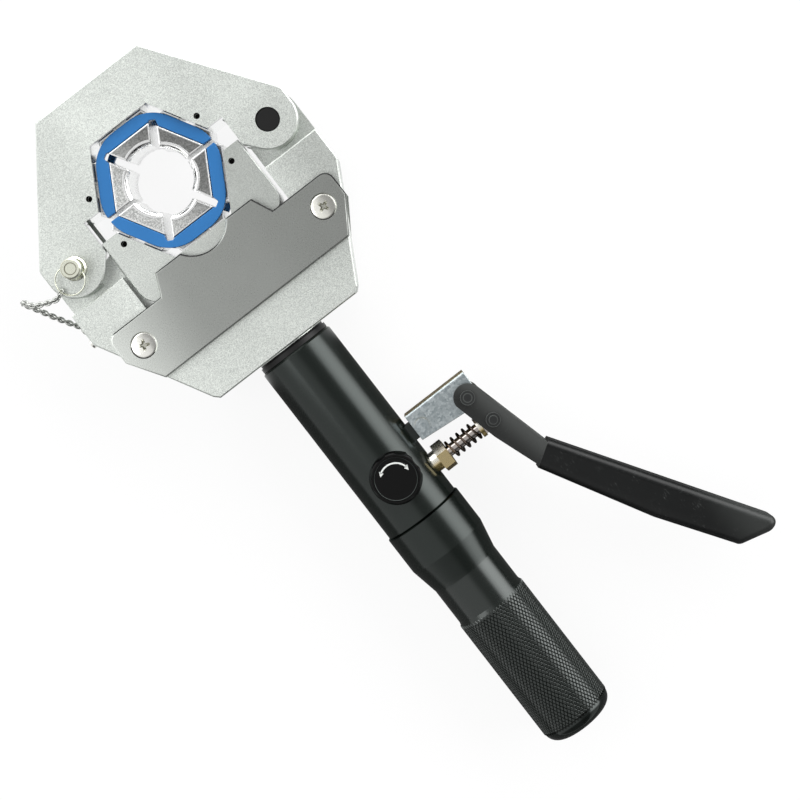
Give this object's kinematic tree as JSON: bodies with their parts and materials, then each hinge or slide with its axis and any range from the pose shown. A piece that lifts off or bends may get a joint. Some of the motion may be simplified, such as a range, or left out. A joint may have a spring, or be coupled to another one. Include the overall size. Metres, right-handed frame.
{
  "type": "hand-operated hydraulic hose crimper",
  "caption": "Hand-pumped hydraulic hose crimper: hinged jaw with a hexagonal die set, steel frame, black tube and knurled handle, pump lever, release knob and chained lock pin.",
  "frame": {"origin": "on the crimp axis of the open head, at the middle of the head's thickness", "axes": "+Z along the crimp axis out of the head's front face, +Y from the handle to the jaw, +X to the side of the hinge and the pump lever"},
  "size_m": [0.2329, 0.4135, 0.056],
  "materials": {
    "satin_steel": "light grey satin plated steel",
    "cover_steel": "darker grey satin steel plate",
    "bright_steel": "bright nickel plate",
    "black_steel": "black oxide steel",
    "black_coat": "semi-gloss black coating",
    "bronze": "plain bearing bronze",
    "spring_steel": "dark drawn spring wire",
    "rubber": "oil-proof rubber",
    "gloss_black": "gloss black plastic",
    "brass": "turned brass",
    "zinc_plate": "zinc plate with a faint bluish spangle",
    "black_vinyl": "dipped black vinyl",
    "hard_chrome": "ground hard chrome",
    "black_plastic": "black moulded plastic",
    "die_steel": "ground and plated die steel",
    "blue_plastic": "blue moulded plastic"
  },
  "bodies": {
    "frame": {"frame_body": "satin_steel", "front_cover": "cover_steel", "rear_cover": "cover_steel", "cover_screws": "bright_steel", "hinge_pin": "black_steel", "tube_collar": "black_steel", "cylinder_tube": "black_coat", "ram_guide_bush": "bronze", "ram_return_spring": "spring_steel", "reservoir_handle": "black_coat", "oil_bladder": "rubber", "handle_end_cap": "gloss_black", "gland_nut": "brass", "pump_spring": "spring_steel", "link_lug": "black_coat", "lug_pin": "zinc_plate", "channel_link": "zinc_plate", "chain_anchor": "bright_steel", "pin_chain": "bright_steel", "lever_pivot_pin": "black_steel"},
    "upper_jaw": {"upper_jaw": "satin_steel", "upper_middle_die": "die_steel", "upper_keeper_front": "blue_plastic", "upper_keeper_rear": "blue_plastic"},
    "upper_left_die": {"upper_left_die": "die_steel"},
    "upper_right_die": {"upper_right_die": "die_steel"},
    "die_block": {"die_block": "satin_steel", "ram_piston": "hard_chrome", "ram_seal": "rubber", "lower_middle_die": "die_steel", "lower_keeper_front": "blue_plastic", "lower_keeper_rear": "blue_plastic"},
    "lower_left_die": {"lower_left_die": "die_steel"},
    "lower_right_die": {"lower_right_die": "die_steel"},
    "lock_pin": {"lock_pin": "bright_steel", "lock_pin_ring": "bright_steel"},
    "pump_lever": {"pump_lever": "black_coat", "lever_grip": "black_vinyl", "plunger_pin": "black_steel"},
    "pump_plunger": {"pump_plunger": "hard_chrome", "spring_retainer": "brass"},
    "release_knob": {"release_knob": "black_plastic", "release_spindle": "bright_steel"}
  },
  "joints": [
    {"name": "jaw_hinge", "type": "hinge", "parent": "frame", "child": "upper_jaw", "pos_m": [0.061, -0.0088, 0], "axis": [0, 0, -1], "range_deg": [0, 90]},
    {"name": "ram_slide", "type": "slide", "parent": "frame", "child": "die_block", "axis": [0, 1, 0], "range_m": [0, 0.0085], "stiffness_N_per_m": 2500, "springref_m": -0.006, "deforming": ["ram_return_spring"]},
    {"name": "lock_pin_pull", "type": "slide", "parent": "frame", "child": "lock_pin", "axis": [0, 0, 1], "range_m": [0, 0.042], "deforming": ["pin_chain"]},
    {"name": "lever_hinge", "type": "hinge", "parent": "frame", "child": "pump_lever", "pos_m": [0.0547, -0.1809, 0], "axis": [0, 0, -1], "range_deg": [0, 30], "stiffness_Nm_per_rad": 1.5, "springref_deg": -14.32},
    {"name": "plunger_slide", "type": "slide", "parent": "frame", "child": "pump_plunger", "axis": [-1, 0, 0], "range_m": [0, 0.0089], "deforming": ["pump_spring"]},
    {"name": "knob_turn", "type": "hinge", "parent": "frame", "child": "release_knob", "pos_m": [0.002, -0.19, 0], "axis": [0, 0, 1], "range_deg": [0, 180]},
    {"name": "upper_left_die_slide", "type": "slide", "parent": "upper_jaw", "child": "upper_left_die", "axis": [0.5, 0.866, 0], "range_m": [0, 0.004], "deforming": ["upper_keeper_front", "upper_keeper_rear"]},
    {"name": "upper_right_die_slide", "type": "slide", "parent": "upper_jaw", "child": "upper_right_die", "axis": [-0.5, 0.866, 0], "range_m": [0, 0.004]},
    {"name": "lower_left_die_slide", "type": "slide", "parent": "die_block", "child": "lower_left_die", "axis": [0.5, -0.866, 0], "range_m": [0, 0.004], "deforming": ["lower_keeper_front", "lower_keeper_rear"]},
    {"name": "lower_right_die_slide", "type": "slide", "parent": "die_block", "child": "lower_right_die", "axis": [-0.5, -0.866, 0], "range_m": [0, 0.004]}
  ],
  "couplings": [
    {"joint": "upper_left_die_slide", "follows": "ram_slide", "ratio": 0.47059},
    {"joint": "upper_right_die_slide", "follows": "ram_slide", "ratio": 0.47059},
    {"joint": "lower_left_die_slide", "follows": "ram_slide", "ratio": 0.47059},
    {"joint": "lower_right_die_slide", "follows": "ram_slide", "ratio": 0.47059},
    {"joint": "plunger_slide", "follows": "lever_hinge", "m_per_rad": 0.0169}
  ]
}
